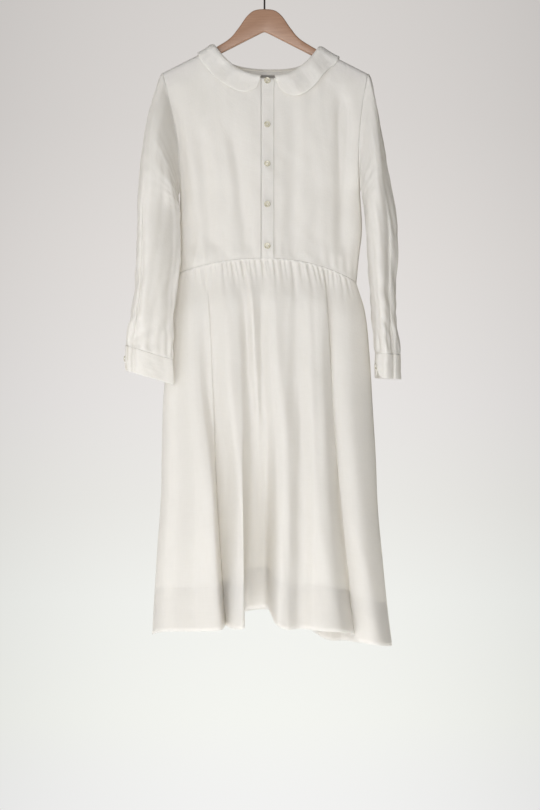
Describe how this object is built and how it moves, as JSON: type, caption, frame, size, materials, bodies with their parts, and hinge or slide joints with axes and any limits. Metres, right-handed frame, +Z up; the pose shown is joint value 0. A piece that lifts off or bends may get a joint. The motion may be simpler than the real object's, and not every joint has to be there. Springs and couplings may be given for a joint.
{
  "type": "long sleeve dress on a wooden hanger",
  "caption": "Off-white linen shirt dress with long sleeves, a flat round collar, a buttoned front to a gathered waist and a deep hem, hanging on a wooden hanger.",
  "frame": {"origin": "top of the inside of the hanger's hook, where a rail carries it", "axes": "+Z up, the dress's front faces -Y, +X towards the wearer's left"},
  "size_m": [0.5358, 0.2328, 1.3215],
  "materials": {
    "linen": "matte plain-weave linen, off-white",
    "shell": "pearly shell-look buttons",
    "label": "dark plain woven label",
    "wood": "satin brown wood",
    "steel": "dark wire"
  },
  "bodies": {
    "root": {"hanger": "wood", "hanger_hook": "steel", "front_right": "linen", "front_left": "linen", "back": "linen", "button_band": "linen", "neck_binding": "linen", "neck_label": "label", "collar": "linen", "sleeve_right": "linen", "sleeve_left": "linen", "cuff_right": "linen", "cuff_left": "linen", "skirt_front": "linen", "skirt_back": "linen", "hem_front": "linen", "hem_back": "linen", "button_1": "shell", "button_2": "shell", "button_3": "shell", "button_4": "shell", "button_5": "shell", "cuff_button_right": "shell", "cuff_button_left": "shell"}
  },
  "joints": []
}
